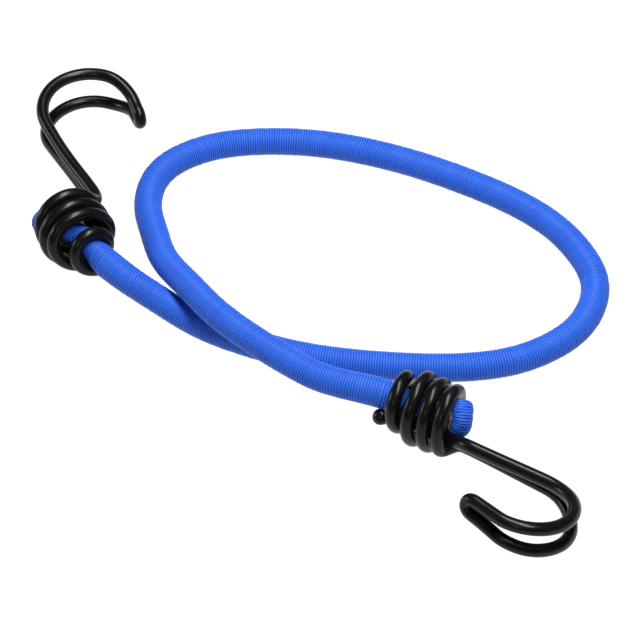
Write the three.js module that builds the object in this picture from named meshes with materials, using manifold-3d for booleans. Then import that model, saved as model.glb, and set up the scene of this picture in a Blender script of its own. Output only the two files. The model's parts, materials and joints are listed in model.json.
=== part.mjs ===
// Bungee cord: an elastic cord with a rubber core in a woven sleeve, and a coated wire hook on each end.
// Each hook is one wire, doubled at its tip. One of its ends lies inside the coil beside the cord, the
// other is wound round the folded cord end, which a brass crimp ring holds together.
// Millimetres, +Z up. The cord lies on the plane z = 0, and both coils rest there too.
import * as THREE from 'three';
import { mergeVertices } from 'three/addons/utils/BufferGeometryUtils.js';
import Module from 'manifold-3d';

const wasm = await Module();
wasm.setup();

// Driving dimensions
const cordDiameter = 8;
const sleeveWall = 1.2;
const wireDiameter = 3.6;
const shankLength = 28.6;
const bowReach = 13.7; // from the shank's end to the middle of the wire at the far side of the bow
const bowHalfWidth = 13.05; // half the distance from the shank to the tip
const tipSpread = 4.2; // the hairpin's width, middle to middle of the wire
const rootSpread = 4.2;
const turnPitch = 4.3;
const neckGap = 0.9; // extra step before the small turn at the neck
const crimpWall = 0.5;
const crimpLength = 7.4;
const rootRun = 9.4; // the wires part from each other over this much of the shank, down to the coil
const leadLength = 52;

// Clearances
const seatGap = 0.3; // between two pieces that touch
const wireGap = 0.45; // between neighbouring runs of the wire
const tailRoom = 0.5; // more beside the end inside the coil, which bends in from the shank
const coilEase = 0.15; // the turns stand off their contents by this much more on each side
const cutOverrun = 5;
const nearRun = 8; // places nearer than this along the wire aren't tested against each other

// The coil: where its first turn stands on the shank, how it narrows and how it flattens the cord
const coilStart = 2.3; // back from the root of the shank
const coilFlare = 0.7; // the first turn is wider than the third by this much on each side
const coilLean = 1.1; // the turns draw away from the shank's line by this much down to the neck
const crimpOffset = 2.2; // from the first turn to the mouth of the crimp ring
const bodyTurns = 2.25; // turns of full width
const neckTurns = 3.1; // where the neck has its small width
const coatingRound = 0.5; // the dipped coating rounds off the wire's cut ends

// Shares: of the cord's diameter, of the wire's runs and of the turns
const pinchedWidthShare = 0.9;
const pinchedHeightShare = 0.41;
const foldWidthShare = 1.36;
const neckWidthShare = 0.8;
const pinchedWallShare = 0.6;
const foldWallShare = 0.8;
const neckMouthShare = 0.45;
const flatSideShare = 0.05;
const strandShare = 0.86;
const spreadStartShare = 0.5;
const spreadFullShare = 0.35;
const spreadFallShare = 0.6;
const tipCloseShare = 0.7;
const tailEndShare = 0.8;
const rootSpanShares = [0.1, 0.9];
const rootBendShares = [0.05, 1];
const rootRiseShares = [-0.15, 0.6];

// Facets
const wireSides = 8;
const cordSides = 12;
const turnSteps = 24;
const bowSteps = 18;
const shankSteps = 5;
const tipSteps = 4;
const tailSteps = 4;
const rootSteps = 8;
const bendSteps = 6;
const foldSteps = 8;
const stepDiameters = 1.6;
const measureSteps = 2000;

// The two hooks are bent by hand to one pattern, so some sizes differ from one to the other.
const leftHook = {
  name: 'left',
  place: { x: -57.9, y: 43.7, z: 9.1 },
  heading: 118, // degrees: the way the shank points, its climb and its roll
  climb: 2.5,
  roll: 0,
  bowSpread: 12.2,
  tipLength: 8.0,
  tipDraw: 1.3, // how far the tip draws in towards the shank
  rootStagger: -0.6,
  bowStagger: 0.8,
  coilHalfHeight: 7.0,
  coilSag: 0.3,
  neckOffset: 8.5,
  neckSag: 0,
  neckSlack: 0.5,
  turns: 3.93,
  nodShares: [-0.08, 0.02], // how far the turns nod forward, at the first and the last
  swingShare: 0.18, // how far they swing sideways
  foldReach: 5.2,
  bulgeHeight: 5.3,
  exitShare: 0.3, // sideways run of the cord through the neck, for each millimetre out
};
const rightHook = {
  name: 'right',
  place: { x: 41.3, y: -49.2, z: 11.8 },
  heading: -31.2,
  climb: -3,
  roll: -16,
  bowSpread: 7.4,
  tipLength: 11.9,
  tipDraw: 3.1,
  rootStagger: -1.2,
  bowStagger: -1.9,
  coilHalfHeight: 7.2,
  coilSag: 1.2,
  neckOffset: 7.2,
  neckSag: 1.0,
  neckSlack: 0.7,
  turns: 3.84,
  nodShares: [0.2, 0.26],
  swingShare: 0.15,
  foldReach: 1.2,
  bulgeHeight: 4.5,
  exitShare: 0.3,
};

// The cord's route over the floor, from the left neck to the right neck, where the strand to the right
// hook passes over the other one in a long low hump.
const cordRoute = [
  [-52.5, 19.6, 7.8],
  [-49.0, 16.1, 7.5],
  [-44.5, 12.6, 6.5],
  [-39.9, 10.1, 5.1],
  [-35.9, 7.4, 4.2],
  [-26.2, 0.4, 3.2],
  [-12.3, -6.6, 3.2],
  [4.1, -12.1, 3.2],
  [28.7, -15.5, 3.2],
  [48.8, -15.5, 3.2],
  [62.2, -12.5, 3.2],
  [76.1, -3.5, 3.2],
  [81.6, 4.9, 3.2],
  [84.2, 15.8, 3.2],
  [82.2, 24.5, 3.2],
  [75.2, 37.3, 3.2],
  [69.6, 43.4, 3.2],
  [60.5, 50.7, 3.2],
  [41.0, 62.0, 3.2],
  [26.3, 68.4, 3.2],
  [12.4, 72.6, 3.2],
  [2.2, 74.3, 3.2],
  [-9.5, 74.7, 3.2],
  [-24.3, 72.6, 3.2],
  [-36.7, 65.4, 3.2],
  [-41.2, 58.5, 3.2],
  [-42.6, 45.9, 3.6],
  [-40.5, 36.9, 4.9],
  [-36.8, 20.9, 8.2],
  [-29.6, 8.3, 11.1],
  [-20.8, -4.8, 12.4],
  [-6.7, -17.6, 12.1],
  [2.4, -24.7, 11.9],
  [9.6, -29.0, 11.6],
  [16.5, -31.3, 11.0],
  [23.6, -33.2, 10.1],
];

// Sizes that follow from the ones above
const wireRadius = wireDiameter / 2;
const wireStep = wireDiameter + wireGap;
const bowArc = Math.PI * (bowReach + bowHalfWidth) / 2;
const pinchedHalfWidth = cordDiameter * pinchedWidthShare / 2;
const pinchedHeight = cordDiameter * pinchedHeightShare;
const foldHalfWidth = cordDiameter * foldWidthShare / 2;
const neckRadius = cordDiameter * neckWidthShare / 2;
const pinchedWall = sleeveWall * pinchedWallShare;
const foldWall = sleeveWall * foldWallShare;
const crimpHalfWidth = pinchedHalfWidth + seatGap + crimpWall;
const crimpHalfHeight = pinchedHeight + seatGap * 2 + crimpWall;
const tailStep = wireStep + tailRoom;
const snugHalfWidth = crimpHalfWidth + tailStep / 2 + seatGap + coilEase + wireRadius;
const legY = coilLean + tailStep + wireRadius + seatGap + crimpHalfWidth;

const up = new THREE.Vector3(0, 0, 1);
const mix = THREE.MathUtils.lerp;
const smooth = THREE.MathUtils.smoothstep;
const radians = THREE.MathUtils.degToRad;

const coating = new THREE.MeshStandardMaterial({ color: 0x101010, roughness: 0.25, metalness: 0.0 });
const weave = new THREE.MeshStandardMaterial({ color: 0x2f5fd6, roughness: 0.7, metalness: 0.0 });
const rubber = new THREE.MeshStandardMaterial({ color: 0xcbb48a, roughness: 0.8, metalness: 0.0 });
const brass = new THREE.MeshStandardMaterial({ color: 0xc9a562, roughness: 0.35, metalness: 1.0 });

// A closed skin over rings of points, solid, or hollow where it is given the rings of its bore.
function skin(rings, bores = null) {
  const sides = rings[0].length;
  const last = (rings.length - 1) * sides;
  const points = rings.flat();
  const bore = points.length;
  const faces = [];
  const quad = (a, b, c, d) => faces.push(a, b, c, a, c, d);
  if (bores) points.push(...bores.flat());
  else points.push(middle(rings[0]), middle(rings.at(-1)));
  for (let side = 0; side < sides; side++) {
    const next = (side + 1) % sides;
    for (let start = 0; start < last; start += sides) {
      quad(start + side, start + next, start + sides + next, start + sides + side);
      if (bores) {
        const inner = bore + start;
        quad(inner + next, inner + side, inner + sides + side, inner + sides + next);
      }
    }
    if (bores) {
      quad(bore + side, bore + next, next, side);
      quad(bore + last + next, bore + last + side, last + side, last + next);
    } else {
      faces.push(bore, next, side);
      faces.push(bore + 1, last + side, last + next);
    }
  }
  if (volumeOf(points, faces) < 0) faces.reverse();
  const geometry = new THREE.BufferGeometry().setFromPoints(points);
  geometry.setIndex(faces);
  geometry.computeVertexNormals();
  return geometry;
}

function middle(ring) {
  return ring.reduce((sum, point) => sum.add(point), new THREE.Vector3()).divideScalar(ring.length);
}

function volumeOf(points, faces) {
  let volume = 0;
  for (let i = 0; i < faces.length; i += 3) {
    const [a, b, c] = [points[faces[i]], points[faces[i + 1]], points[faces[i + 2]]];
    volume += a.dot(new THREE.Vector3().crossVectors(b, c));
  }
  return volume;
}

// One wire through a list of points, round all the way, with its ends rounded off by the coating.
function wireAlong(path) {
  const ends = [path.at(0), path.at(1), path.at(-2), path.at(-1)];
  const before = ends[0].clone().add(ends[0].clone().sub(ends[1]).setLength(coatingRound));
  const after = ends[3].clone().add(ends[3].clone().sub(ends[2]).setLength(coatingRound));
  const points = [before, ...path, after];
  const side = new THREE.Vector3(0, 0, 1);
  const rings = points.map((point, i) => {
    const ahead = points[Math.min(i + 1, points.length - 1)];
    const behind = points[Math.max(i - 1, 0)];
    const along = ahead.clone().sub(behind).normalize();
    side.addScaledVector(along, -side.dot(along)).normalize();
    const across = new THREE.Vector3().crossVectors(along, side);
    const atEnd = i === 0 || i === points.length - 1;
    const radius = wireRadius - (atEnd ? coatingRound : 0);
    return circleOf(wireSides, radius).map(([u, v]) => (
      point.clone().addScaledVector(side, u).addScaledVector(across, v)
    ));
  });
  return skin(rings);
}

function circleOf(sides, radius) {
  return Array.from({ length: sides }, (_, i) => {
    const angle = (i + 0.5) / sides * Math.PI * 2;
    return [Math.cos(angle) * radius, Math.sin(angle) * radius];
  });
}

// A section of soft cord lies at a point, with half a width to each side, from low to high along tall.
// It is widest at its middle height, which is near the flat side where the cord is pinched.
function sectionRing(section, inset, strands = 1) {
  const low = section.low + inset;
  const high = section.high - inset;
  const widest = mix(low, high, section.widest);
  return circleOf(cordSides, 1).map(([u, v], i) => {
    const lobe = i % 2 ? strands : 1;
    const rise = v > 0 ? (high - widest) * v : (widest - low) * v;
    return section.at.clone()
      .addScaledVector(section.wide, (section.half - inset) * u * lobe)
      .addScaledVector(section.tall, widest + rise * lobe);
  });
}

function sleeveOver(sections) {
  return skin(sections.map(s => sectionRing(s, 0)), sections.map(s => sectionRing(s, s.wall)));
}

function coreUnder(sections) {
  return skin(sections.map(s => sectionRing(s, s.wall + seatGap, strandShare)));
}

// A point of one wire of the pair, at a distance along it from the root: side 1 is the upper wire.
function pairPoint(hook, run, side) {
  const bowEnd = shankLength + bowArc;
  const spreadStart = shankLength * spreadStartShare;
  const spreadFull = shankLength + bowArc * spreadFullShare;
  const spreadFall = shankLength + bowArc * spreadFallShare;
  const tipClose = bowEnd + hook.tipLength * tipCloseShare;
  const opening = smooth(run, spreadStart, spreadFull);
  const closing = smooth(run, spreadFall, tipClose);
  const spread = mix(mix(rootSpread, hook.bowSpread, opening), tipSpread, closing);
  const stagger = mix(mix(hook.rootStagger, hook.bowStagger, opening), 0, closing);
  const angle = THREE.MathUtils.clamp((run - shankLength) / bowArc, 0, 1) * Math.PI;
  const past = Math.max(run - bowEnd, 0) / hook.tipLength;
  const x = Math.min(run, shankLength) + bowReach * Math.sin(angle) - hook.tipLength * past;
  const y = bowHalfWidth * (Math.cos(angle) - 1) + hook.tipDraw * past;
  return new THREE.Vector3(x, y + side * stagger / 2, side * spread / 2);
}

// A point of the coil, counted in turns from the shank's line. A quarter turn is at the top.
function coilPoint(hook, turn) {
  const angle = turn * Math.PI * 2;
  const body = Math.min(turn / bodyTurns, 1);
  const neck = smooth(turn, bodyTurns, neckTurns);
  const bodyWidth = snugHalfWidth + coilFlare * (1 - body);
  const neckSize = neckRadius + seatGap + hook.neckSlack + wireRadius;
  const halfWidth = mix(bodyWidth, neckSize, neck);
  const halfHeight = mix(hook.coilHalfHeight, neckSize, neck);
  const centreY = mix(coilLean * body + bodyWidth, hook.neckOffset, neck);
  const centreZ = mix(-hook.coilSag * body, -hook.neckSag, neck);
  const nod = mix(hook.nodShares[0], hook.nodShares[1], turn / hook.turns);
  const x = -coilStart - turn * turnPitch - neckGap * neck
    - nod * halfHeight * Math.sin(angle) + hook.swingShare * halfWidth * Math.cos(angle);
  return new THREE.Vector3(x, centreY - halfWidth * Math.cos(angle), centreZ + halfHeight * Math.sin(angle));
}

// The end inside the coil runs beside the crimp ring, one wire's step in from the turns.
function tailPoint(hook, x) {
  const body = THREE.MathUtils.clamp((-x - coilStart) / (turnPitch * bodyTurns), 0, 1);
  return new THREE.Vector3(x, coilLean * body + tailStep, -hook.coilSag * body);
}

function range(from, to, count) {
  return Array.from({ length: count + 1 }, (_, i) => mix(from, to, i / count));
}

function hookWirePath(hook) {
  const runEnd = shankLength + bowArc + hook.tipLength;
  const tailEnd = -coilStart - crimpOffset - crimpLength * tailEndShare;
  const tail = range(tailEnd, 0, tailSteps).map(x => tailPoint(hook, x));
  const rootIn = tailPoint(hook, 0);
  const rootOut = pairPoint(hook, rootRun, 1);
  const root = range(...rootSpanShares, rootSteps).map(share => new THREE.Vector3(
    mix(rootIn.x, rootOut.x, share),
    mix(rootIn.y, rootOut.y, smooth(share, ...rootBendShares)),
    mix(rootIn.z, rootOut.z, smooth(share, ...rootRiseShares)),
  ));
  const runs = [
    ...range(rootRun, shankLength, shankSteps),
    ...range(shankLength, shankLength + bowArc, bowSteps).slice(1),
    ...range(shankLength + bowArc, runEnd, tipSteps).slice(1),
  ];
  const upper = runs.map(run => pairPoint(hook, run, 1));
  const lower = runs.map(run => pairPoint(hook, run, -1)).reverse();
  const hairpin = hairpinPoints(upper.at(-2), upper.at(-1), lower[0]);
  const lowerRoot = pairPoint(hook, coilStart + wireRadius, -1);
  const coil = range(0, hook.turns, Math.round(turnSteps * hook.turns)).map(turn => coilPoint(hook, turn));
  const climb = coil[1].clone().sub(coil[0]);
  const corner = coil[0].clone().addScaledVector(climb, (lowerRoot.z - wireRadius - coil[0].z) / climb.z);
  const dip = new THREE.QuadraticBezierCurve3(lowerRoot, corner, coil[0]).getPoints(bendSteps).slice(1, -1);
  return [...tail, ...root, ...upper, ...hairpin, ...lower, lowerRoot, ...dip, ...coil];
}

// The half circle that joins the two wires at the tip, bulging on in the tip's direction.
function hairpinPoints(before, upperEnd, lowerEnd) {
  const centre = upperEnd.clone().add(lowerEnd).divideScalar(2);
  const arm = upperEnd.clone().sub(centre);
  const onward = upperEnd.clone().sub(before);
  onward.addScaledVector(arm, -onward.dot(arm) / arm.lengthSq()).setLength(arm.length());
  return range(0, Math.PI, bendSteps).slice(1, -1).map(angle => (
    centre.clone().addScaledVector(arm, Math.cos(angle)).addScaledVector(onward, Math.sin(angle))
  ));
}

// The least clear space between two runs of the wire, measured on its middle line.
function leastSelfGap(path) {
  const along = [0];
  for (let i = 1; i < path.length; i++) along.push(along[i - 1] + path[i].distanceTo(path[i - 1]));
  let least = Infinity;
  const line = new THREE.Line3();
  const nearest = new THREE.Vector3();
  path.forEach((point, i) => {
    for (let j = 1; j < path.length; j++) {
      if (Math.min(Math.abs(along[j] - along[i]), Math.abs(along[j - 1] - along[i])) < nearRun) continue;
      line.set(path[j - 1], path[j]).closestPointToPoint(point, true, nearest);
      least = Math.min(least, nearest.distanceTo(point));
    }
  });
  return least - wireDiameter;
}

// The folded cord end: the cut leg below, round the fold at the hook's side, and back above to the neck.
function foldSections(hook) {
  const legZ = -hook.coilSag / 2;
  const crimpMouth = -coilStart - crimpOffset;
  const crimpBack = crimpMouth - crimpLength;
  const foldX = hook.foldReach - hook.bulgeHeight;
  const wideY = new THREE.Vector3(0, 1, 0);
  const leg = (x, side, height, half) => ({
    at: new THREE.Vector3(x, legY, legZ),
    wide: wideY,
    tall: up.clone().multiplyScalar(side),
    half,
    low: seatGap / 2,
    high: height + seatGap / 2,
    widest: flatSideShare,
    wall: pinchedWall,
  });
  const legXs = [crimpBack - seatGap, crimpMouth];
  const cutLeg = legXs.map(x => leg(x, -1, pinchedHeight, pinchedHalfWidth));
  const longLeg = legXs.map(x => leg(x, 1, pinchedHeight, pinchedHalfWidth)).reverse();
  const fold = range(-Math.PI / 2, Math.PI / 2, foldSteps).map(angle => {
    const apex = Math.cos(angle);
    return {
      ...leg(foldX, 1, hook.bulgeHeight, mix(pinchedHalfWidth, foldHalfWidth, (1 + apex) / 2)),
      tall: new THREE.Vector3(Math.cos(angle), 0, Math.sin(angle)),
      widest: 0.5,
      wall: foldWall,
    };
  });
  const neckX = neckTurnX(hook);
  const neckMouthX = neckX + turnPitch * neckMouthShare;
  const stations = [
    [(legXs[0] + neckMouthX) / 2, 0.5],
    [neckMouthX, 1],
    [neckX, 1],
    [neckX - turnPitch / 2 - wireDiameter, 1],
  ];
  const through = stations.map(([x, share]) => {
    const swing = Math.atan(hook.exitShare) * share;
    const neck = neckLine(hook, x);
    return {
      at: new THREE.Vector3(x, mix(legY, neck.y, share), mix(legZ, neck.z, share)),
      wide: new THREE.Vector3(-Math.sin(swing), Math.cos(swing), 0),
      tall: up,
      half: mix(pinchedHalfWidth, neckRadius, share),
      low: mix(-seatGap, -neckRadius, share),
      high: mix(pinchedHeight, neckRadius, share),
      widest: mix(flatSideShare, 0.5, share),
      wall: mix(pinchedWall, foldWall, share),
    };
  });
  return [...cutLeg, ...fold, ...longLeg, ...through];
}

function neckTurnX(hook) {
  return -coilStart - turnPitch * (hook.turns - 0.5) - neckGap;
}

// The middle of the cord lies low in the neck's turn and passes it on a slant.
function neckLine(hook, x) {
  return new THREE.Vector3(
    x,
    hook.neckOffset - hook.neckSlack / 2 + hook.exitShare * (x - neckTurnX(hook)),
    -hook.neckSag - hook.neckSlack / 2,
  );
}

function crimpRing(hook) {
  const outline = new THREE.Shape().absellipse(0, 0, crimpHalfHeight, crimpHalfWidth, 0, Math.PI * 2);
  const bore = new THREE.Path().absellipse(
    0, 0, crimpHalfHeight - crimpWall, crimpHalfWidth - crimpWall, 0, Math.PI * 2,
  );
  outline.holes.push(bore);
  const ring = new THREE.ExtrudeGeometry(outline, {
    depth: crimpLength,
    bevelEnabled: false,
    curveSegments: turnSteps / 2,
  });
  ring.rotateY(-Math.PI / 2);
  ring.translate(-coilStart - crimpOffset, legY, -hook.coilSag / 2);
  return ring;
}

// The free cord between two distances along its route. Its sections stand upright on the floor.
function cordSections(curve, from, to) {
  const length = curve.getLength();
  const steps = Math.max(3, Math.round((to - from) / (cordDiameter * stepDiameters)));
  return range(from / length, to / length, steps).map(share => {
    const along = curve.getTangentAt(share);
    const wide = new THREE.Vector3().crossVectors(up, along).normalize();
    return {
      at: curve.getPointAt(share),
      wide,
      tall: new THREE.Vector3().crossVectors(along, wide),
      half: cordDiameter / 2,
      low: -cordDiameter / 2,
      high: cordDiameter / 2,
      widest: 0.5,
      wall: sleeveWall,
    };
  });
}

function toManifold(geometry) {
  const bare = geometry.clone();
  bare.deleteAttribute('normal');
  bare.deleteAttribute('uv');
  const merged = mergeVertices(bare);
  return new wasm.Manifold(new wasm.Mesh({
    numProp: 3,
    vertProperties: merged.attributes.position.array,
    triVerts: new Uint32Array(merged.index.array),
  }));
}

// Cuts away what would lie below the floor, so that the piece stands on a flat there.
function cutAtFloor(geometry, placement = new THREE.Matrix4()) {
  const placed = geometry.clone().applyMatrix4(placement);
  placed.computeBoundingBox();
  const { min, max } = placed.boundingBox;
  if (min.z >= 0) return geometry;
  const block = new THREE.BoxGeometry(
    max.x - min.x + cutOverrun,
    max.y - min.y + cutOverrun,
    cutOverrun,
  );
  block.translate((max.x + min.x) / 2, (max.y + min.y) / 2, -cutOverrun / 2);
  const cut = toManifold(placed).subtract(toManifold(block)).getMesh();
  const result = new THREE.BufferGeometry();
  result.setAttribute('position', new THREE.BufferAttribute(cut.vertProperties, 3));
  result.setIndex(new THREE.BufferAttribute(cut.triVerts, 1));
  result.applyMatrix4(placement.clone().invert());
  result.computeVertexNormals();
  return result;
}

function mesh(name, geometry, material) {
  const piece = new THREE.Mesh(geometry, material);
  piece.name = name;
  return piece;
}

// One hook with the folded cord end and crimp ring that its coil holds.
function hookAssembly(hook) {
  const group = new THREE.Group();
  group.position.set(hook.place.x, hook.place.y, hook.place.z);
  group.rotation.set(radians(hook.roll), -radians(hook.climb), radians(hook.heading), 'ZYX');
  group.updateMatrix();
  const path = hookWirePath(hook);
  console.log(`${hook.name}_hook_wire least gap to itself ${leastSelfGap(path).toFixed(2)} mm`);
  const fold = foldSections(hook);
  group.add(
    mesh(`${hook.name}_hook_wire`, cutAtFloor(wireAlong(path), group.matrix), coating),
    mesh(`${hook.name}_crimp_ring`, crimpRing(hook), brass),
    mesh(`${hook.name}_fold_sleeve`, sleeveOver(fold), weave),
    mesh(`${hook.name}_fold_core`, coreUnder(fold), rubber),
  );
  return group;
}

// The free cord: a lead that bends with each hook, and the long stretch between them.
function freeCord() {
  const group = new THREE.Group();
  const curve = new THREE.CatmullRomCurve3(cordRoute.map(point => new THREE.Vector3(...point)), false);
  curve.arcLengthDivisions = measureSteps;
  const length = curve.getLength();
  const stretches = [
    ['left_lead', seatGap, leadLength],
    ['main', leadLength + seatGap, length - leadLength - seatGap],
    ['right_lead', length - leadLength, length - seatGap],
  ];
  for (const [name, from, to] of stretches) {
    const sections = cordSections(curve, from, to);
    group.add(
      mesh(`${name}_sleeve`, cutAtFloor(sleeveOver(sections)), weave),
      mesh(`${name}_core`, coreUnder(sections), rubber),
    );
  }
  return group;
}

const bungeeCord = new THREE.Group();
bungeeCord.add(hookAssembly(leftHook), hookAssembly(rightHook), freeCord());

export default bungeeCord;
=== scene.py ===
import json
import math

import bpy
import numpy as np
from mathutils import Matrix, Vector


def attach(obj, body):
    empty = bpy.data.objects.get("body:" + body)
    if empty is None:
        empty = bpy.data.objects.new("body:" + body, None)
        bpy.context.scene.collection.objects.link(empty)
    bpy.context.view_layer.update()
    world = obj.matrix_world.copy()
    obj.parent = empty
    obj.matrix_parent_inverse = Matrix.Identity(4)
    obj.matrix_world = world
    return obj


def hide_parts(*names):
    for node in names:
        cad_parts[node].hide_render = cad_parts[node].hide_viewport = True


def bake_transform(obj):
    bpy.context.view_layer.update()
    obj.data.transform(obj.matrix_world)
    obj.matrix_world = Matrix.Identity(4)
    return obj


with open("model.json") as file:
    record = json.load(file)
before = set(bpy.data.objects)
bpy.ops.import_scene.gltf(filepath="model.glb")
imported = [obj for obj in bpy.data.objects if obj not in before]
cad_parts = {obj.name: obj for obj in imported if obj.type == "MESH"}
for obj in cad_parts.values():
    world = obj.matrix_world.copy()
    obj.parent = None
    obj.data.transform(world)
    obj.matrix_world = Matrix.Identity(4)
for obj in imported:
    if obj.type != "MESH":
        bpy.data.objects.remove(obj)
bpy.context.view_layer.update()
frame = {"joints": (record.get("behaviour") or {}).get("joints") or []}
scene = bpy.context.scene
scene.view_settings.view_transform = "Standard"  # keeps the cord's blue as clean as it is in daylight
mm = 0.001
print("frame loaded")


# small helpers

def mix(a, b, share):
    return a + (b - a) * share


def smooth(x, low, high):
    t = np.clip((x - low) / (high - low), 0, 1)
    return t * t * (3 - 2 * t)


def unit(v):
    return v / np.linalg.norm(v, axis=-1, keepdims=True)


def lengthsAlong(points):
    steps = np.linalg.norm(np.diff(points, axis=0), axis=1)
    return np.concatenate([[0], np.cumsum(steps)])


def valuesAt(values, along, places):  # values given along a line, read at other places on it
    return np.stack([np.interp(places, along, values[:, k]) for k in range(3)], axis=1)


def evenly(points, step):
    along = lengthsAlong(points)
    count = max(3, round(along[-1] / step) + 1)
    return valuesAt(points, along, np.linspace(0, along[-1], count))


def relaxed(points, reach):  # rounds off kinks over a number of points, and keeps both ends
    half = int(math.ceil(reach * 3))
    weights = np.exp(-0.5 * (np.arange(-half, half + 1) / reach) ** 2)
    weights /= weights.sum()
    before = 2 * points[0] - points[half:0:-1]
    after = 2 * points[-1] - points[-2:-half - 2:-1]
    padded = np.concatenate([before, points, after])
    return np.stack([np.convolve(padded[:, k], weights, mode="valid") for k in range(3)], axis=1)


def ringAngles(sides):
    return (np.arange(sides) + 0.5) / sides * 2 * math.pi


# the camera comes first, at the photograph's place

cameraPlace = {
    "target": (7, 8, 0), "elevation": 46, "distance": 881.8,  # millimetres and degrees
    "lens": 177.87, "sensor": 36, "clipStart": 0.05, "clipEnd": 20,
}


def makeCamera(place):
    data = bpy.data.cameras.new("camera")
    data.lens = place["lens"]
    data.sensor_width = place["sensor"]
    data.clip_start = place["clipStart"]
    data.clip_end = place["clipEnd"]
    camera = bpy.data.objects.new("camera", data)
    scene.collection.objects.link(camera)
    tilt = math.radians(place["elevation"])
    back = Vector((0, -math.cos(tilt), math.sin(tilt))) * place["distance"]
    camera.location = (Vector(place["target"]) + back) * mm
    camera.rotation_euler = (math.radians(90) - tilt, 0, 0)
    scene.camera = camera


makeCamera(cameraPlace)
print("camera set")


# node materials

def newMaterial(name):
    material = bpy.data.materials.new(name)
    material.use_nodes = True
    nodes = material.node_tree.nodes
    return material, nodes, material.node_tree.links, nodes["Principled BSDF"]


def addNode(nodes, kind, **settings):
    node = nodes.new(kind)
    for key, value in settings.items():
        if key in node.inputs:
            node.inputs[key].default_value = value
        else:
            setattr(node, key, value)
    return node


def setInputs(node, values):
    for key, value in values.items():
        node.inputs[key].default_value = value


def stretchedNoise(nodes, links, source, stretch, **settings):
    mapping = addNode(nodes, "ShaderNodeMapping")
    mapping.inputs["Scale"].default_value = stretch
    links.new(source, mapping.inputs["Vector"])
    noise = addNode(nodes, "ShaderNodeTexNoise", **settings)
    links.new(mapping.outputs["Vector"], noise.inputs["Vector"])
    return noise.outputs["Fac"]


def weighed(nodes, links, parts):  # the sum of some outputs, each times its share
    total = None
    for source, share in parts:
        node = addNode(nodes, "ShaderNodeMath", operation="MULTIPLY_ADD")
        links.new(source, node.inputs[0])
        node.inputs[1].default_value = share
        node.inputs[2].default_value = 0
        if total is not None:
            links.new(total, node.inputs[2])
        total = node.outputs[0]
    return total


def ramp(nodes, links, source, stops, colours):
    node = addNode(nodes, "ShaderNodeValToRGB")
    elements = node.color_ramp.elements
    while len(elements) < len(stops):
        elements.new(0.5)
    for element, stop, colour in zip(elements, stops, colours):
        element.position = stop
        element.color = (*colour, 1)
    links.new(source, node.inputs["Fac"])
    return node.outputs["Color"]


def roughened(nodes, links, shader, source, look):
    node = addNode(nodes, "ShaderNodeMath", operation="MULTIPLY_ADD")
    links.new(source, node.inputs[0])
    node.inputs[1].default_value = look["roughnessSpread"]
    node.inputs[2].default_value = look["smoothest"]
    links.new(node.outputs[0], shader.inputs["Roughness"])


def bumped(nodes, links, shader, source, look):
    bump = addNode(nodes, "ShaderNodeBump", Strength=look["bump"], Distance=look["bumpDepth"])
    links.new(source, bump.inputs["Height"])
    links.new(bump.outputs["Normal"], shader.inputs["Normal"])


unstretched = (1, 1, 1)
# the weave's colour runs from a painted shade blue through the body blue to a painted lit blue; the rib
# crests' share paints highlight on each crest and shade in the valleys, and the fibre and patch noise give
# the threads' own uneven tone
weaveLook = {
    "darkThreadAndPaintedShade": (0.0016, 0.008, 0.1), "body": (0.0115, 0.062, 0.415), "lit": (0.032, 0.133, 0.65),
    "stops": (0.15, 0.55, 1.0), "paintedRibShadeShare": 0.76, "fibreShare": 0.38, "patchShare": 0.16,
    "fibreStretch": (7.0, 0.45, 1), "patchStretch": (0.12, 0.1, 1),  # along and round the cord
    "smoothest": 0.3, "roughnessSpread": 0.25, "bump": 0.35, "bumpDepth": 0.00008,
    "sheen": 0.02, "sheenRoughness": 0.4, "sheenTint": (0.35, 0.55, 1.0), "specular": 0.12,
}


def blueWeave(look):
    material, nodes, links, shader = newMaterial("blueWeave")
    uv = addNode(nodes, "ShaderNodeUVMap", uv_map="thread").outputs["UV"]
    fibre = stretchedNoise(nodes, links, uv, look["fibreStretch"], Scale=1.0, Detail=3.0, Roughness=0.6)
    patch = stretchedNoise(nodes, links, uv, look["patchStretch"], Scale=1.0, Detail=2.0, Roughness=0.5)
    # painted highlight on the rib crests and painted shade in the rib valleys, mixed with the threads' own
    # uneven tone
    crest = addNode(nodes, "ShaderNodeAttribute", attribute_name="crest").outputs["Fac"]
    shade = weighed(nodes, links, [(crest, look["paintedRibShadeShare"]), (fibre, look["fibreShare"]),
                                   (patch, look["patchShare"])])
    colour = ramp(nodes, links, shade, look["stops"], (look["darkThreadAndPaintedShade"], look["body"], look["lit"]))
    links.new(colour, shader.inputs["Base Color"])
    roughened(nodes, links, shader, fibre, look)
    bumped(nodes, links, shader, fibre, look)
    setInputs(shader, {"Sheen Weight": look["sheen"], "Sheen Roughness": look["sheenRoughness"],
                       "Sheen Tint": (*look["sheenTint"], 1), "Specular IOR Level": look["specular"]})
    return material


coatingLook = {
    "colour": (0.003, 0.003, 0.0032), "paler": 1.6, "stops": (0.35, 0.7), "waves": 260.0, "grain": 2200.0,
    "smoothest": 0.24, "roughnessSpread": 0.12, "bump": 0.35, "bumpDepth": 0.00002,
    "coat": 0.1, "coatRoughness": 0.12, "ior": 1.24,
}


def blackCoating(look):
    material, nodes, links, shader = newMaterial("blackCoating")
    place = addNode(nodes, "ShaderNodeTexCoord").outputs["Object"]
    waves = stretchedNoise(nodes, links, place, unstretched, Scale=look["waves"], Detail=1.5, Roughness=0.4)
    grain = stretchedNoise(nodes, links, place, unstretched, Scale=look["grain"], Detail=2.0, Roughness=0.5)
    paler = tuple(channel * look["paler"] for channel in look["colour"])
    links.new(ramp(nodes, links, waves, look["stops"], (look["colour"], paler)), shader.inputs["Base Color"])
    roughened(nodes, links, shader, grain, look)
    bumped(nodes, links, shader, waves, look)
    setInputs(shader, {"Coat Weight": look["coat"], "Coat Roughness": look["coatRoughness"],
                       "IOR": look["ior"]})
    return material


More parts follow.
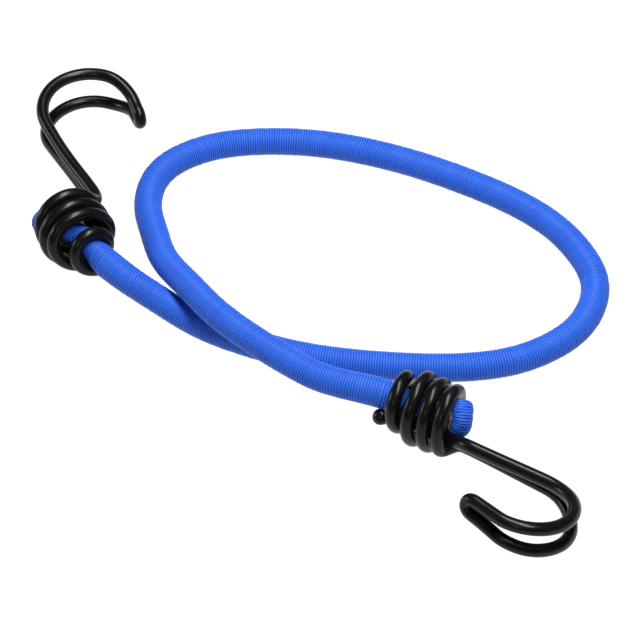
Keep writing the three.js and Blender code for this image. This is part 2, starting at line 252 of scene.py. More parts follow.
brassLook = {
    "pale": (0.62, 0.42, 0.2), "warm": (0.45, 0.22, 0.07), "stops": (0.35, 0.6), "stain": 420.0,
    "brushed": 900.0, "brushedStretch": (1, 1, 12),
    "smoothest": 0.24, "roughnessSpread": 0.2, "bump": 0.2, "bumpDepth": 0.00003,
}


def crimpBrass(look):
    material, nodes, links, shader = newMaterial("crimpBrass")
    place = addNode(nodes, "ShaderNodeTexCoord").outputs["Object"]
    stain = stretchedNoise(nodes, links, place, unstretched, Scale=look["stain"], Detail=3.0, Roughness=0.6)
    brushed = stretchedNoise(nodes, links, place, look["brushedStretch"],
                             Scale=look["brushed"], Detail=2.0, Roughness=0.6)
    colour = ramp(nodes, links, stain, look["stops"], (look["warm"], look["pale"]))
    links.new(colour, shader.inputs["Base Color"])
    roughened(nodes, links, shader, brushed, look)
    bumped(nodes, links, shader, brushed, look)
    shader.inputs["Metallic"].default_value = 1.0
    return material


rubberLook = {
    "pale": (0.62, 0.48, 0.3), "dull": (0.46, 0.34, 0.2), "stops": (0.3, 0.7), "mottle": 700.0,
    "roughness": 0.75, "bump": 0.25, "bumpDepth": 0.00005,
}


def coreRubber(look):
    material, nodes, links, shader = newMaterial("coreRubber")
    place = addNode(nodes, "ShaderNodeTexCoord").outputs["Object"]
    mottle = stretchedNoise(nodes, links, place, unstretched,
                            Scale=look["mottle"], Detail=3.0, Roughness=0.6)
    colour = ramp(nodes, links, mottle, look["stops"], (look["dull"], look["pale"]))
    links.new(colour, shader.inputs["Base Color"])
    bumped(nodes, links, shader, mottle, look)
    shader.inputs["Roughness"].default_value = look["roughness"]
    return material


weaveMaterial = blueWeave(weaveLook)
coatingMaterial = blackCoating(coatingLook)
brassMaterial = crimpBrass(brassLook)
rubberMaterial = coreRubber(rubberLook)
print("materials made")


# meshes from rings of points, in millimetres

def ringMesh(name, rings, material, alongs=None, crestsForPaintedShade=None):
    rings = np.array(rings, float)
    rings[:, :, 2] = np.maximum(rings[:, :, 2], 0)  # soft pieces lie flat where they rest
    count, sides = rings.shape[:2]
    points = rings.reshape(-1, 3)
    centred = points - points.mean(axis=0)
    ring, side = np.meshgrid(np.arange(count - 1), np.arange(sides), indexing="ij")
    following = (side + 1) % sides
    corners = np.stack([ring * sides + side, ring * sides + following,
                        (ring + 1) * sides + following, (ring + 1) * sides + side], axis=-1).reshape(-1, 4)
    a, b, c = (centred[corners[:, k]] for k in range(3))
    inward = np.einsum("ij,ij->i", a, np.cross(b, c)).sum() < 0
    faces = corners[:, ::-1] if inward else corners
    firstCap = list(range(sides))
    lastCap = list(range((count - 1) * sides, count * sides))
    caps = [firstCap, lastCap[::-1]] if inward else [firstCap[::-1], lastCap]
    mesh = bpy.data.meshes.new(name)
    mesh.from_pydata((points * mm).tolist(), [], faces.tolist() + caps)
    mesh.polygons.foreach_set("use_smooth", [True] * len(faces) + [False] * 2)
    if alongs is not None:
        layer = mesh.uv_layers.new(name="thread")
        girth = np.linalg.norm(np.roll(rings, -1, axis=1) - rings, axis=2).sum(axis=1).mean()
        u = np.stack([alongs[ring], alongs[ring], alongs[ring + 1], alongs[ring + 1]], axis=-1)
        v = np.stack([side, side + 1, side + 1, side], axis=-1) / sides * girth
        uv = np.stack([u, v], axis=-1).reshape(-1, 4, 2)
        uv = uv[:, ::-1] if inward else uv
        uv = np.concatenate([uv.reshape(-1, 2), np.zeros((2 * sides, 2))])
        layer.data.foreach_set("uv", uv.astype(np.float32).ravel())
    # the rib crest share, which the weave material turns into painted highlight on the crests and painted
    # shade in the valleys
    if crestsForPaintedShade is not None:
        values = np.broadcast_to(np.asarray(crestsForPaintedShade, np.float32).reshape(count, -1), (count, sides))
        mesh.attributes.new("crest", "FLOAT", "POINT").data.foreach_set("value", values.ravel())
    mesh.materials.append(material)
    mesh.update()
    piece = bpy.data.objects.new(name, mesh)
    scene.collection.objects.link(piece)
    return piece


def framesAlong(points):  # two directions across the line that never twist about it
    tangents = unit(np.gradient(points, axis=0))
    sides = []
    side = np.array([0, 0, 1.0])
    for along in tangents:
        side = unit(side - along * (side @ along))
        sides.append(side)
    sides = np.array(sides)
    return sides, np.cross(tangents, sides)


def roundRings(points, radii, sides):
    first, second = framesAlong(points)
    angles = ringAngles(sides)[None, :, None]
    spokes = np.cos(angles) * first[:, None] + np.sin(angles) * second[:, None]
    return points[:, None] + spokes * np.asarray(radii)[:, None, None]


# the hooks: one pattern of bent wire, with sizes of its own for each hand-bent hook, in millimetres.
# A hook's own axes start where its shanks leave the coil: x runs to the bow, y to the coil's middle and
# z up. Runs are lengths along the wire, and heading, climb, roll and twist are in degrees.

cordDiameter = 8.0
sleeveWall = 1.2
seatGap = 0.3

wirePattern = {
    "diameter": 3.6, "gap": 0.45, "tipSpread": 4.2, "tailRoom": 0.5, "coilEase": 0.15, "neckGap": 0.9,
    "bodyTurns": 2.25, "neckTurns": 3.1, "swellRun": 16, "endSwell": 0.3, "endRun": (-6.4, -2.8),
    "tailStop": 0.6, "rootShares": (0.05, 0.95), "thinnest": 0.05, "sides": 28, "capSteps": 8,
    "step": 0.4, "roundOver": 2.2,
}
wirePoints = {  # how many points each part of the wire's line gets
    "tail": 12, "root": 20, "shank": 20, "bow": 70, "tip": 12, "hairpin": 16, "home": 24, "dip": 18,
    "turn": 90,
}
crimp = {
    "wall": 0.5, "length": 7.2, "lap": 0.7, "lapRise": (0.86, 0.97), "lapGap": 0.04, "corner": 0.16,
    "cornerTurns": (0, 30, 60, 90), "steps": 96,
}
fold = {
    "pinchedWidthShare": 0.9, "pinchedHeightShare": 0.41, "neckWidthShare": 0.8, "seamLap": 0.3,
    "pinchedWall": 0.72, "foldWall": 0.96, "neckMouthShare": 0.45, "flatSideShare": 0.05,
    "swellPlace": 0.55, "swellShare": 0.75, "turnSections": 13, "sides": 56, "steps": 600,
    "ribPitch": 0.86, "ribDepth": 0.24, "ribSizes": (0.55, 1.25),
    "ribPhases": (0, 0.14, 0.32, 0.5, 0.68, 0.86),  # where the rings of points lie on each rib
    "drift": 0.16, "wobbles": ((2, 0.28), (5, 0.2)), "wobbleShare": 0.35,  # waves round it, and sizes
    "creaseDepth": 0.132, "creases": 3, "creaseRun": 1.7,
    "coreSides": 36, "coreStrands": 12, "coreSteps": 120, "seed": 5,
}
strandDepth = 0.06  # of the core's width, between its strands
hooks = {
    "left": {
        "place": (-57.9, 43.7, 9.1), "heading": 118, "climb": 2.5, "roll": 0,  # of the hook's own axes
        "shank": 29.5, "bowReach": 13.7, "bowHalfWidth": 13.6, "bowSpread": 11.5, "bowLift": -0.25,
        "bowStagger": 0.7, "opening": (0.31, 0.42), "closing": (0.76, 0.9),  # where the pair parts and meets
        "tipLength": 4.6, "tipDraw": 0.6, "tipLift": -0.3,
        "upperRoot": (-0.9, 2.2), "lowerRoot": (-1.4, -3.6), "rootShare": 0.84, "rootSpread": 4.6,
        "woundSide": 1, "rootRun": 5.6, "joinRun": 0.4, "dipEase": 0.35,  # 1 winds the upper wire
        "tail": (-2.3, 4.4, 0.2), "tailRun": 11.6, "coilStart": 4.2, "turnPitch": 4.05, "firstTurn": 0.08,
        "turns": 3.8, "coilHalfHeight": 7.7, "coilTight": -0.34, "coilFlare": -0.58, "coilSide": 0.68,
        "coilLean": 0.05, "coilLift": 0.8, "coilSag": -0.29, "coilSwell": 0.06,
        "nodShares": (-0.35, -0.2), "swingShares": (-0.09, -0.03),  # slant of the first and the last turn
        "neckHalves": (5.3, 5.1), "neckRing": (8.7, 1.2), "neck": (-17.9, 8.4, 1.3), "leadEnd": 0,
        "neckwardShift": (0, -1.6, 0.4), "legs": (11.2, 1.4), "mouth": -3.4,
        "foldReach": 2.4, "foldShift": (2.3, -2.2), "foldTwist": 0, "foldHalfWidth": 5.4, "bulgeHeight": 5.9,
    },
    "right": {
        "place": (41.3, -49.2, 11.8), "heading": -31.2, "climb": -3, "roll": -16,
        "shank": 28.1, "bowReach": 13.4, "bowHalfWidth": 12.9, "bowSpread": 8.1, "bowLift": -0.56,
        "bowStagger": -1.94, "opening": (1.06, 0.44), "closing": (0.75, 1.08),
        "tipLength": 9.7, "tipDraw": 2.3, "tipLift": 0.46,
        "upperRoot": (-1.6, 1.3), "lowerRoot": (3.1, -2.6), "rootShare": 1.48, "rootSpread": 4.0,
        "woundSide": -1, "rootRun": 6.9, "joinRun": 2.7, "dipEase": 0.36,
        "tail": (-3.3, 2.7, -2.6), "tailRun": 13.4, "coilStart": 3.0, "turnPitch": 4.56, "firstTurn": -0.13,
        "turns": 3.86, "coilHalfHeight": 8.65, "coilTight": 0.56, "coilFlare": -1.33, "coilSide": -1.83,
        "coilLean": -0.24, "coilLift": 0.95, "coilSag": 1.21, "coilSwell": 0.15,
        "nodShares": (0.03, 0.03), "swingShares": (-0.04, 0.03),
        "neckHalves": (6.5, 6.3), "neckRing": (5.6, 0.0), "neck": (-18.2, 6.0, 0.2), "leadEnd": -1,
        "neckwardShift": (0, -0.6, -1.2), "legs": (5.9, 2.2), "mouth": -1.7,
        "foldReach": 4.1, "foldShift": (0.4, 0.8), "foldTwist": 50, "foldHalfWidth": 3.0, "bulgeHeight": 5.7,
    },
}

wireRadius = wirePattern["diameter"] / 2
pinchedHalfWidth = cordDiameter * fold["pinchedWidthShare"] / 2
pinchedHeight = cordDiameter * fold["pinchedHeightShare"]
neckRadius = cordDiameter * fold["neckWidthShare"] / 2
crimpHalfWidth = pinchedHalfWidth + seatGap + crimp["wall"]
crimpHalfHeight = pinchedHeight + seatGap * 2 + crimp["wall"]
tailStep = wirePattern["diameter"] + wirePattern["gap"] + wirePattern["tailRoom"]
snugHalfWidth = crimpHalfWidth + tailStep / 2 + seatGap + wirePattern["coilEase"] + wireRadius


def hookTurn(hook):
    return np.array(Matrix.Rotation(math.radians(hook["heading"]), 3, "Z")
                    @ Matrix.Rotation(-math.radians(hook["climb"]), 3, "Y")
                    @ Matrix.Rotation(math.radians(hook["roll"]), 3, "X"))


def placed(hook, rings):  # from the hook's own axes to the frame's
    return np.asarray(rings, float) @ hookTurn(hook).T + np.array(hook["place"])


def inHookAxes(hook, point):
    return (np.asarray(point, float) - np.array(hook["place"])) @ hookTurn(hook)


def bowArc(hook):
    return math.pi * (hook["bowReach"] + hook["bowHalfWidth"]) / 2


def pairPoint(hook, run, side):  # a point of one wire of the pair; side 1 is the upper wire
    shank, arc, tip = hook["shank"], bowArc(hook), hook["tipLength"]
    opening = smooth(run, shank * hook["opening"][0], shank + arc * hook["opening"][1])
    closing = smooth(run, shank + arc * hook["closing"][0], shank + arc + tip * hook["closing"][1])
    rooted = smooth(run, 0, shank * hook["rootShare"])
    rootY, rootZ = hook["upperRoot"] if side > 0 else hook["lowerRoot"]
    shankZ = mix(rootZ, side * hook["rootSpread"] / 2, rooted)
    bowZ = mix(shankZ, side * hook["bowSpread"] / 2 + hook["bowLift"], opening)
    z = mix(bowZ, side * wirePattern["tipSpread"] / 2 + hook["tipLift"], closing)
    offset = mix(mix(rootY, side * hook["bowStagger"] / 2, rooted), 0, closing)
    angle = np.clip((run - shank) / arc, 0, 1) * math.pi
    past = max(run - shank - arc, 0) / tip
    x = min(run, shank) + hook["bowReach"] * math.sin(angle) - tip * past
    return np.array([x, hook["bowHalfWidth"] * (math.cos(angle) - 1) + hook["tipDraw"] * past + offset, z])


def coilPoint(hook, turn):  # counted in turns from the shank's line, with a quarter turn at the top
    angle = turn * 2 * math.pi
    wound = max(turn, 0)
    body = min(wound / wirePattern["bodyTurns"], 1)
    neck = smooth(wound, wirePattern["bodyTurns"], wirePattern["neckTurns"])
    bodyWidth = snugHalfWidth - hook["coilTight"] + hook["coilFlare"] * (1 - body)
    halfWidth = mix(bodyWidth, hook["neckHalves"][0], neck)
    halfHeight = mix(hook["coilHalfHeight"], hook["neckHalves"][1], neck)
    centreY = mix(hook["coilSide"] + hook["coilLean"] * body + bodyWidth, hook["neckRing"][0], neck)
    centreZ = mix(hook["coilLift"] - hook["coilSag"] * body, hook["neckRing"][1], neck)
    nod = mix(*hook["nodShares"], wound / hook["turns"])
    swing = mix(*hook["swingShares"], wound / hook["turns"])
    x = (-hook["coilStart"] - turn * hook["turnPitch"] - wirePattern["neckGap"] * neck
         - nod * halfHeight * math.sin(angle) + swing * halfWidth * math.cos(angle))
    return np.array([x, centreY - halfWidth * math.cos(angle), centreZ + halfHeight * math.sin(angle)])


def rootPoint(rootIn, rootOut, share):
    across = mix(rootIn[1:], rootOut[1:], smooth(share, 0, 1))
    return np.array([mix(rootIn[0], rootOut[0], share), *across])


def bowRuns(hook):
    shank, bowEnd = hook["shank"], hook["shank"] + bowArc(hook)
    return np.concatenate([np.linspace(shank, bowEnd, wirePoints["bow"])[1:],
                           np.linspace(bowEnd, bowEnd + hook["tipLength"], wirePoints["tip"])[1:]])


def hairpinPoints(before, start, end):  # half a turn at the pinched tip
    centre = (start + end) / 2
    arm = start - centre
    onward = start - before
    onward = unit(onward - arm * (onward @ arm) / (arm @ arm)) * np.linalg.norm(arm)
    return [centre + arm * math.cos(angle) + onward * math.sin(angle)
            for angle in np.linspace(0, math.pi, wirePoints["hairpin"])[1:-1]]


def dipPoints(hook, before, start, end, after):  # the bend by which the shank dives into the coil
    pull = np.linalg.norm(end - start) * hook["dipEase"]
    leave = start + unit(start - before) * pull
    arrive = end - unit(after - end) * pull
    return [start * (1 - t) ** 3 + leave * 3 * t * (1 - t) ** 2
            + arrive * 3 * t ** 2 * (1 - t) + end * t ** 3
            for t in np.linspace(0, 1, wirePoints["dip"])[1:-1]]


def hookWirePath(hook):  # from the tail inside the coil to the cut end at the neck
    shank, tailSide = hook["shank"], -hook["woundSide"]
    rootIn = np.array(hook["tail"])
    rootOut = pairPoint(hook, hook["rootRun"], tailSide)
    tailRuns = np.linspace(hook["tailRun"], wirePattern["tailStop"], wirePoints["tail"])
    tail = [rootIn - [run, 0, 0] for run in tailRuns]
    rootShares = np.linspace(*wirePattern["rootShares"], wirePoints["root"])
    root = [rootPoint(rootIn, rootOut, share) for share in rootShares]
    bow = bowRuns(hook)
    outwardRuns = [*np.linspace(hook["rootRun"], shank, wirePoints["shank"]), *bow]
    homeRuns = [*bow[::-1], *np.linspace(shank, hook["joinRun"], wirePoints["home"])]
    outgoing = [pairPoint(hook, run, tailSide) for run in outwardRuns]
    homeward = [pairPoint(hook, run, hook["woundSide"]) for run in homeRuns]
    hairpin = hairpinPoints(outgoing[-2], outgoing[-1], homeward[0])
    turnCount = round(wirePoints["turn"] * hook["turns"])
    coil = [coilPoint(hook, turn) for turn in np.linspace(hook["firstTurn"], hook["turns"], turnCount)]
    dip = dipPoints(hook, homeward[-2], homeward[-1], coil[0], coil[1])
    path = np.array([*tail, *root, *outgoing, *hairpin, *homeward, *dip, *coil])
    return relaxed(evenly(path, wirePattern["step"]), wirePattern["roundOver"])


def hookWire(name, hook):
    path = hookWirePath(hook)
    reach = wireRadius * np.sin(np.linspace(0, math.pi / 2, wirePattern["capSteps"])[1:])
    first, last = unit(path[0] - path[1]), unit(path[-1] - path[-2])
    line = np.concatenate([path[0] + reach[::-1, None] * first, path, path[-1] + reach[:, None] * last])
    capRadii = np.sqrt(np.maximum(wireRadius ** 2 - reach ** 2, 0))  # the coating rounds off both cut ends
    capRadii = np.maximum(capRadii, wirePattern["thinnest"])
    radii = np.concatenate([capRadii[::-1], np.full(len(path), wireRadius), capRadii])
    run = (np.arange(len(line)) - len(line)) * wirePattern["step"]  # counted back from the neck's cut end
    coilRun = -hook["turns"] * math.pi * (hook["coilHalfHeight"] + snugHalfWidth)
    swell = (hook["coilSwell"] * smooth(run, coilRun, wirePattern["swellRun"] + coilRun)
             + wirePattern["endSwell"] * smooth(run, *wirePattern["endRun"]))
    radii = (1 + swell / wireRadius) * radii
    rings = placed(hook, roundRings(line, radii, wirePattern["sides"]))
    piece = ringMesh(f"{name}HookWire", rings, coatingMaterial)
    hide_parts(f"{name}_hook_wire")
    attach(piece, f"{name}_hook")


def sectionRing(section, inset, sides, strands=0):
    low, high = section["low"] + inset, section["high"] - inset
    widest = mix(low, high, section["widest"])
    angles = ringAngles(sides)
    lobe = 1 - strandDepth * (1 - np.abs(np.sin(angles * strands / 2))) if strands else 1
    u, v = np.cos(angles) * lobe, np.sin(angles) * lobe
    rise = np.where(v > 0, (high - widest) * v, (widest - low) * v)
    return (section["at"] + section["wide"] * ((section["half"] - inset) * u)[:, None]
            + section["tall"] * (widest + rise)[:, None])


def foldSections(hook):  # along the folded end: the short leg, the fold, the long leg and the neck
    legY, legZ = hook["legs"]
    mouth = hook["mouth"]
    foldX = hook["foldReach"] - hook["bulgeHeight"]
    wide, up = np.array([0, 1, 0.0]), np.array([0, 0, 1.0])

    def leg(x, side, height, half):
        return {"at": np.array([x, legY, legZ]), "wide": wide, "tall": up * side, "half": half,
                "low": seatGap / 2, "high": height + seatGap / 2, "widest": fold["flatSideShare"],
                "wall": fold["pinchedWall"]}

    ends = [mouth - crimp["length"] - seatGap, mouth]
    sections = [leg(x, -1, pinchedHeight, pinchedHalfWidth) for x in ends]
    twist = math.radians(hook["foldTwist"])
    shift = np.array([0, *hook["foldShift"]])
    for angle in np.linspace(-math.pi / 2, math.pi / 2, fold["turnSections"]):
        apex = math.cos(angle)
        half = mix(pinchedHalfWidth, hook["foldHalfWidth"], (1 + apex) / 2)
        bulge = leg(foldX, 1, hook["bulgeHeight"], half)
        tall = np.array([apex * math.cos(twist), -apex * math.sin(twist), math.sin(angle)])
        sections.append({**bulge, "at": bulge["at"] + shift, "tall": tall, "widest": 0.5,
                         "wide": np.array([math.sin(twist), math.cos(twist), 0]), "wall": fold["foldWall"]})
    sections += [leg(x, 1, pinchedHeight, pinchedHalfWidth) for x in ends[::-1]]
    neck, leadEnd = np.array(hook["neck"]), inHookAxes(hook, cordLine[hook["leadEnd"]])
    outward = unit(leadEnd - neck)
    neckMouth = neck - outward * hook["turnPitch"] * fold["neckMouthShare"]
    halfway = (sections[-1]["at"] + neckMouth) / 2 + np.array(hook["neckwardShift"])
    endRadius = cordDiameter / 2 - cord["necking"]
    swelling = mix(neckRadius, endRadius, fold["swellShare"])
    stations = [(halfway, 0.5, neckRadius), (neckMouth, 1, neckRadius), (neck, 1, neckRadius),
                (mix(neck, leadEnd, fold["swellPlace"]), 1, swelling),
                (leadEnd + outward * fold["seamLap"], 1, endRadius)]
    for at, share, radius in stations:
        sections.append({
            "at": at, "wide": unit(mix(wide, np.array([outward[1], -outward[0], 0]), share)), "tall": up,
            "half": mix(pinchedHalfWidth, radius, share), "low": mix(-seatGap, -radius, share),
            "high": mix(pinchedHeight, radius, share), "widest": mix(fold["flatSideShare"], 0.5, share),
            "wall": mix(fold["pinchedWall"], fold["foldWall"], share)})
    return sections


def between(sections, place):  # a section between two of the list
    index = min(int(place), len(sections) - 2)
    share = place - index
    first, second = sections[index], sections[index + 1]
    result = {key: mix(first[key], second[key], share) for key in first}
    result["wide"], result["tall"] = unit(result["wide"]), unit(result["tall"])
    return result


def foldSleeveRings(sections):
    places = np.linspace(0, len(sections) - 1, fold["steps"])
    outer = np.array([s["at"] + s["tall"] * s["high"] for s in (between(sections, p) for p in places)])
    along = lengthsAlong(outer)
    ribs = round(along[-1] / fold["ribPitch"])
    phases = np.append((np.arange(ribs)[:, None] + np.array(fold["ribPhases"])).ravel(), ribs)
    runs = phases / ribs * along[-1]
    random = np.random.default_rng(fold["seed"])
    ribSizes = random.uniform(*fold["ribSizes"], ribs + 1)
    drift = np.cumsum(random.normal(0, fold["drift"], (ribs + 1, 3)), axis=0)
    angles = ringAngles(fold["sides"])
    rings, crestsForPaintedShade = [], []
    for stop, phase in zip(np.interp(runs, along, places), phases):
        rib = int(min(phase, ribs - 1))
        wobble = sum(size * np.sin(angles * waves + drift[rib, k])
                     for k, (waves, size) in enumerate(fold["wobbles"]))
        crest = np.abs(np.sin(math.pi * (phase + wobble * fold["wobbleShare"])))
        groove = fold["ribDepth"] * ribSizes[rib] * (1 - crest)
        crease = np.sin(angles * fold["creases"] + drift[rib, 2]) * np.sin(phase * fold["creaseRun"])
        crease = fold["creaseDepth"] * np.maximum(crease, 0)
        ring = sectionRing(between(sections, stop), 0, fold["sides"])
        rings.append(ring - unit(ring - ring.mean(axis=0)) * (groove + crease)[:, None])
        crestsForPaintedShade.append(crest)
    return np.array(rings), runs, np.array(crestsForPaintedShade)


def foldedEnd(name, hook):
    sections = foldSections(hook)
    rings, runs, crestsForPaintedShade = foldSleeveRings(sections)
    sleeve = ringMesh(f"{name}FoldSleeve", placed(hook, rings), weaveMaterial,
                      alongs=runs, crestsForPaintedShade=crestsForPaintedShade)
    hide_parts(f"{name}_fold_sleeve")
    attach(sleeve, f"{name}_hook")
    stops = np.linspace(0, len(sections) - 1, fold["coreSteps"])
    coreRings = [sectionRing(s, s["wall"] + seatGap, fold["coreSides"], fold["coreStrands"])
                 for s in (between(sections, stop) for stop in stops)]
    core = ringMesh(f"{name}FoldCore", placed(hook, coreRings), rubberMaterial)
    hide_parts(f"{name}_fold_core")
    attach(core, f"{name}_hook")


def crimpRing(name, hook):  # a strip rolled once round the pinched legs, with a short lap underneath
    half, corner, wall = crimp["length"] / 2, crimp["corner"], crimp["wall"]
    arcs = [(half - corner, wall - corner, 0), (-half + corner, wall - corner, 90),
            (-half + corner, corner, 180), (half - corner, corner, 270)]
    outline = []
    for run, rise, start in arcs:
        for turn in crimp["cornerTurns"]:
            angle = math.radians(start + turn)
            outline.append((run + corner * math.cos(angle), rise + corner * math.sin(angle)))
    middle = np.array([hook["mouth"] - half, *hook["legs"]])
    rings = []
    for share in np.linspace(0, 1, crimp["steps"]):
        angle = -math.pi / 2 - crimp["lap"] / 2 + share * (2 * math.pi + crimp["lap"])
        lift = smooth(share, *crimp["lapRise"]) * (wall + crimp["lapGap"])
        spoke = np.array([0, math.cos(angle), math.sin(angle)])
        rim = middle + spoke * [0, crimpHalfWidth - wall, crimpHalfHeight - wall]
        rings.append([rim + spoke * (rise + lift) + np.array([run, 0, 0]) for run, rise in outline])
    piece = ringMesh(f"{name}CrimpRing", placed(hook, rings), brassMaterial)
    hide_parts(f"{name}_crimp_ring")
    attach(piece, f"{name}_hook")


# the cord's route over the floor, from the left neck to the right neck, in metres

cordRoute = [
    (-0.0525, 0.0196, 0.0078), (-0.0490, 0.0161, 0.0075), (-0.0445, 0.0126, 0.0065),
    (-0.0399, 0.0101, 0.0051), (-0.0359, 0.0074, 0.0042), (-0.0262, 0.0004, 0.0032),
    (-0.0123, -0.0066, 0.0032), (0.0041, -0.0121, 0.0032), (0.0287, -0.0155, 0.0032),
    (0.0488, -0.0155, 0.0032), (0.0622, -0.0125, 0.0032), (0.0761, -0.0035, 0.0032),
    (0.0816, 0.0049, 0.0032), (0.0842, 0.0158, 0.0032), (0.0822, 0.0245, 0.0032),
    (0.0752, 0.0373, 0.0032), (0.0696, 0.0434, 0.0032), (0.0605, 0.0507, 0.0032),
    (0.0410, 0.0620, 0.0032), (0.0263, 0.0684, 0.0032), (0.0124, 0.0726, 0.0032),
    (0.0022, 0.0743, 0.0032), (-0.0095, 0.0747, 0.0032), (-0.0243, 0.0726, 0.0032),
    (-0.0367, 0.0654, 0.0032), (-0.0412, 0.0585, 0.0032), (-0.0426, 0.0459, 0.0036),
    (-0.0405, 0.0369, 0.0049), (-0.0368, 0.0209, 0.0082), (-0.0296, 0.0083, 0.0111),
    (-0.0208, -0.0048, 0.0124), (-0.0067, -0.0176, 0.0121), (0.0024, -0.0247, 0.0119),
    (0.0096, -0.0290, 0.0116), (0.0165, -0.0313, 0.0110), (0.0236, -0.0332, 0.0101),
]
cord = {
    "spanPoints": 40, "step": 0.5, "roundOver": 9, "rightRise": 1.7, "riseRun": 22.0,
    "necking": -0.2, "neckingRun": 14.0,  # less than nothing, so the cord grows towards its necks
    "leadRibs": 72, "ribPitch": 0.722, "ribDepth": 0.17, "ribSizes": (0.7, 1.2), "ribLift": 0.02,
    "ribPhases": (0, 0.13, 0.3, 0.5, 0.7, 0.87), "crestPower": 0.8, "sides": 40,
    "slant": 0.16, "slantRun": 61, "slantCalm": 9, "turnRun": 121, "turnCalm": 6,  # runs counted in ribs
    "straightRibs": 2, "coreSides": 36, "coreStrands": 12, "coreStep": 2.5, "seed": 11,
    "hingeBend": (-5.0, 16.0),  # from just behind the hinge to just before the neck
}


def smoothLine(points):  # one smooth curve through the route's points, at even steps
    route = np.array(points) / mm
    ends = [2 * route[0] - route[1], 2 * route[-1] - route[-2]]
    full = np.concatenate([[ends[0]], route, [ends[1]]])
    line = []
    for p0, p1, p2, p3 in zip(full, full[1:], full[2:], full[3:]):
        d0, d1, d2 = (math.sqrt(np.linalg.norm(b - a)) for a, b in ((p0, p1), (p1, p2), (p2, p3)))
        m1 = ((p1 - p0) / d0 - (p2 - p0) / (d0 + d1) + (p2 - p1) / d1) * d1
        m2 = ((p2 - p1) / d1 - (p3 - p1) / (d1 + d2) + (p3 - p2) / d2) * d1
        for t in np.linspace(0, 1, cord["spanPoints"], endpoint=False):
            line.append((2 * t ** 3 - 3 * t ** 2 + 1) * p1 + (t ** 3 - 2 * t ** 2 + t) * m1
                        + (3 * t ** 2 - 2 * t ** 3) * p2 + (t ** 3 - t ** 2) * m2)
    line.append(route[-1])
    line = relaxed(evenly(np.array(line), cord["step"]), cord["roundOver"])
    along = lengthsAlong(line)
    line[:, 2] += cord["rightRise"] * smooth(along, along[-1] - cord["riseRun"], along[-1])
    return line


def uprightFrames(line):
    tangents = unit(np.gradient(line, axis=0))
    wide = unit(np.cross([0, 0, 1.0], tangents))
    return wide, np.cross(tangents, wide)


cordLine = smoothLine(cordRoute)
cordAlong = lengthsAlong(cordLine)
cordWide, cordTall = uprightFrames(cordLine)
ribCount = round(cordAlong[-1] / cord["ribPitch"])
ribPitch = cordAlong[-1] / ribCount


def cordAt(places):  # the cord's middle, its way across and its way up
    return (valuesAt(cordLine, cordAlong, places), unit(valuesAt(cordWide, cordAlong, places)),
            unit(valuesAt(cordTall, cordAlong, places)))


def drifting(random, run, calm):  # a random value for each rib that changes slowly along the cord
    return np.convolve(random.normal(0, 1, ribCount + run), np.hanning(run) / calm, mode="valid")


def cordRings(firstRib, lastRib):
    phases = (np.arange(firstRib, lastRib)[:, None] + np.array(cord["ribPhases"])).ravel()
    phases = np.append(phases, lastRib)
    random = np.random.default_rng(cord["seed"])
    sizes = random.uniform(*cord["ribSizes"], ribCount + 1)
    lifts = random.normal(0, cord["ribLift"], ribCount + 1)
    slants = drifting(random, cord["slantRun"], cord["slantCalm"])
    turns = drifting(random, cord["turnRun"], cord["turnCalm"])
    angles = ringAngles(cord["sides"])[None]
    places = phases * ribPitch
    rib = np.minimum(phases.astype(int), ribCount - 1)
    centres, wide, tall = cordAt(places)
    crest = np.abs(np.sin(math.pi * phases)) ** cord["crestPower"]
    ends = np.minimum(places, cordAlong[-1] - places)
    necking = cord["necking"] * (1 - smooth(ends, 0, cord["neckingRun"]))
    radius = cordDiameter / 2 - necking - cord["ribDepth"] * sizes[rib] * (1 - crest) + lifts[rib] * crest
    straight = smooth(np.minimum(phases - firstRib, lastRib - phases), 0, cord["straightRibs"])[:, None]
    shift = cord["slant"] * slants[rib][:, None] * np.cos(angles + turns[rib][:, None]) * straight
    spokes = np.cos(angles)[:, :, None] * wide[:, None] + np.sin(angles)[:, :, None] * tall[:, None]
    rings = (centres[:, None] + radius[:, None, None] * spokes
             + np.cross(wide, tall)[:, None] * shift[:, :, None])
    return rings, places, crest, centres


def cordCoreRings(start, end):
    half = cordDiameter / 2
    steps = np.linspace(start, end, max(4, round((end - start) / cord["coreStep"])))
    return [sectionRing({"at": at, "wide": wide, "tall": tall, "half": half, "low": -half, "high": half,
                         "widest": 0.5}, sleeveWall + seatGap, cord["coreSides"], cord["coreStrands"])
            for at, wide, tall in zip(*cordAt(steps))]


def cordPiece(name, node, firstRib, lastRib, body=None, joined=None):
    rings, places, crest, centres = cordRings(firstRib, lastRib)
    sleeve = ringMesh(f"{name}Sleeve", rings, weaveMaterial, alongs=places, crestsForPaintedShade=crest)
    core = ringMesh(f"{name}Core", cordCoreRings(places[0], places[-1]), rubberMaterial)
    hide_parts(f"{node}_sleeve")
    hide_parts(f"{node}_core")
    for piece in (sleeve, core):
        if joined:
            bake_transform(piece)
        else:
            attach(piece, body)


def hingeBlend(jointName, toNeck):  # toNeck is the way along the line from the hinge to its neck
    hinge = next(j for j in frame["joints"] if j["name"] == jointName)
    pivot = np.array(hinge["pos_m"]) / mm
    place = cordAlong[np.argmin(np.linalg.norm(cordLine - pivot, axis=1))]
    start, end = (cordAt([place + toNeck * run])[0][0] for run in cord["hingeBend"])
    return hinge["child"], tuple(start * mm), tuple(end * mm)


lastLead = ribCount - cord["leadRibs"]
cordPiece("leftLead", "left_lead", 0, cord["leadRibs"], joined=hingeBlend("left_hook_lift", -1))
cordPiece("mainCord", "main", cord["leadRibs"], lastLead, body="cord")
cordPiece("rightLead", "right_lead", lastLead, ribCount, joined=hingeBlend("right_hook_lift", 1))
print("cord laid,", round(cordAlong[-1]), "mm from neck to neck,", ribCount, "ribs")

for hookName, hookSizes in hooks.items():
    hookWire(hookName, hookSizes)
    foldedEnd(hookName, hookSizes)
    crimpRing(hookName, hookSizes)
    print(hookName, "hook wound")


# the stage: a pale floor and soft boxes, in metres and watts

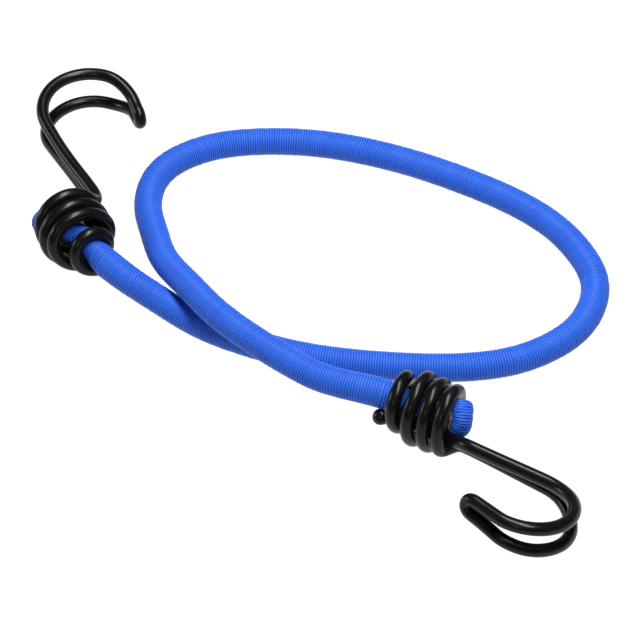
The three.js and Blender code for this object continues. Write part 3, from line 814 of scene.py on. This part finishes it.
stage = {
    "floorSize": 6.0, "floorDrop": 0.0001, "floorColour": (0.1, 0.1, 0.1), "floorGlow": 1.0,
    "floorRoughness": 0.9, "floorSpecular": 0.1, "ambient": 0.03,
}
softBoxes = [  # each direction is seen from the object
    {"name": "sideBox", "direction": (-0.953, 0.16, 0.3), "distance": 1.0,
     "size": (0.4, 0.2), "power": 2.6},
    {"name": "frontBox", "direction": (-0.208, -0.763, 0.608), "distance": 1.2,
     "size": (0.24, 0.12), "power": 0.8},
    {"name": "topBox", "direction": (0.15, 0.06, 0.99), "distance": 0.65,
     "size": (0.72, 0.17), "power": 8.2},
]


def makeFloor(values):
    half = values["floorSize"] / 2
    corners = [(-half, -half, 0), (half, -half, 0), (half, half, 0), (-half, half, 0)]
    mesh = bpy.data.meshes.new("floor")
    mesh.from_pydata(corners, [], [(0, 1, 2, 3)])
    material, nodes, links, shader = newMaterial("paleFloor")
    setInputs(shader, {"Base Color": (*values["floorColour"], 1), "Roughness": values["floorRoughness"],
                       "Specular IOR Level": values["floorSpecular"], "Emission Color": (1, 1, 1, 1),
                       "Emission Strength": values["floorGlow"]})
    mesh.materials.append(material)
    floor = bpy.data.objects.new("floor", mesh)
    floor.location.z = -values["floorDrop"]
    scene.collection.objects.link(floor)


def makeSoftBox(values):
    data = bpy.data.lights.new(values["name"], "AREA")
    data.shape = "RECTANGLE"
    data.size, data.size_y = values["size"]
    data.energy = values["power"]
    light = bpy.data.objects.new(values["name"], data)
    direction = Vector(values["direction"]).normalized()
    light.location = direction * values["distance"]
    light.rotation_euler = direction.to_track_quat("Z", "Y").to_euler()
    scene.collection.objects.link(light)


def makeWorld(values):
    world = bpy.data.worlds.new("studio")
    world.use_nodes = True
    background = world.node_tree.nodes["Background"]
    background.inputs["Color"].default_value = (1, 1, 1, 1)
    background.inputs["Strength"].default_value = values["ambient"]
    scene.world = world


makeFloor(stage)
makeWorld(stage)
for box in softBoxes:
    makeSoftBox(box)
print("stage lit, view transform", scene.view_settings.view_transform)
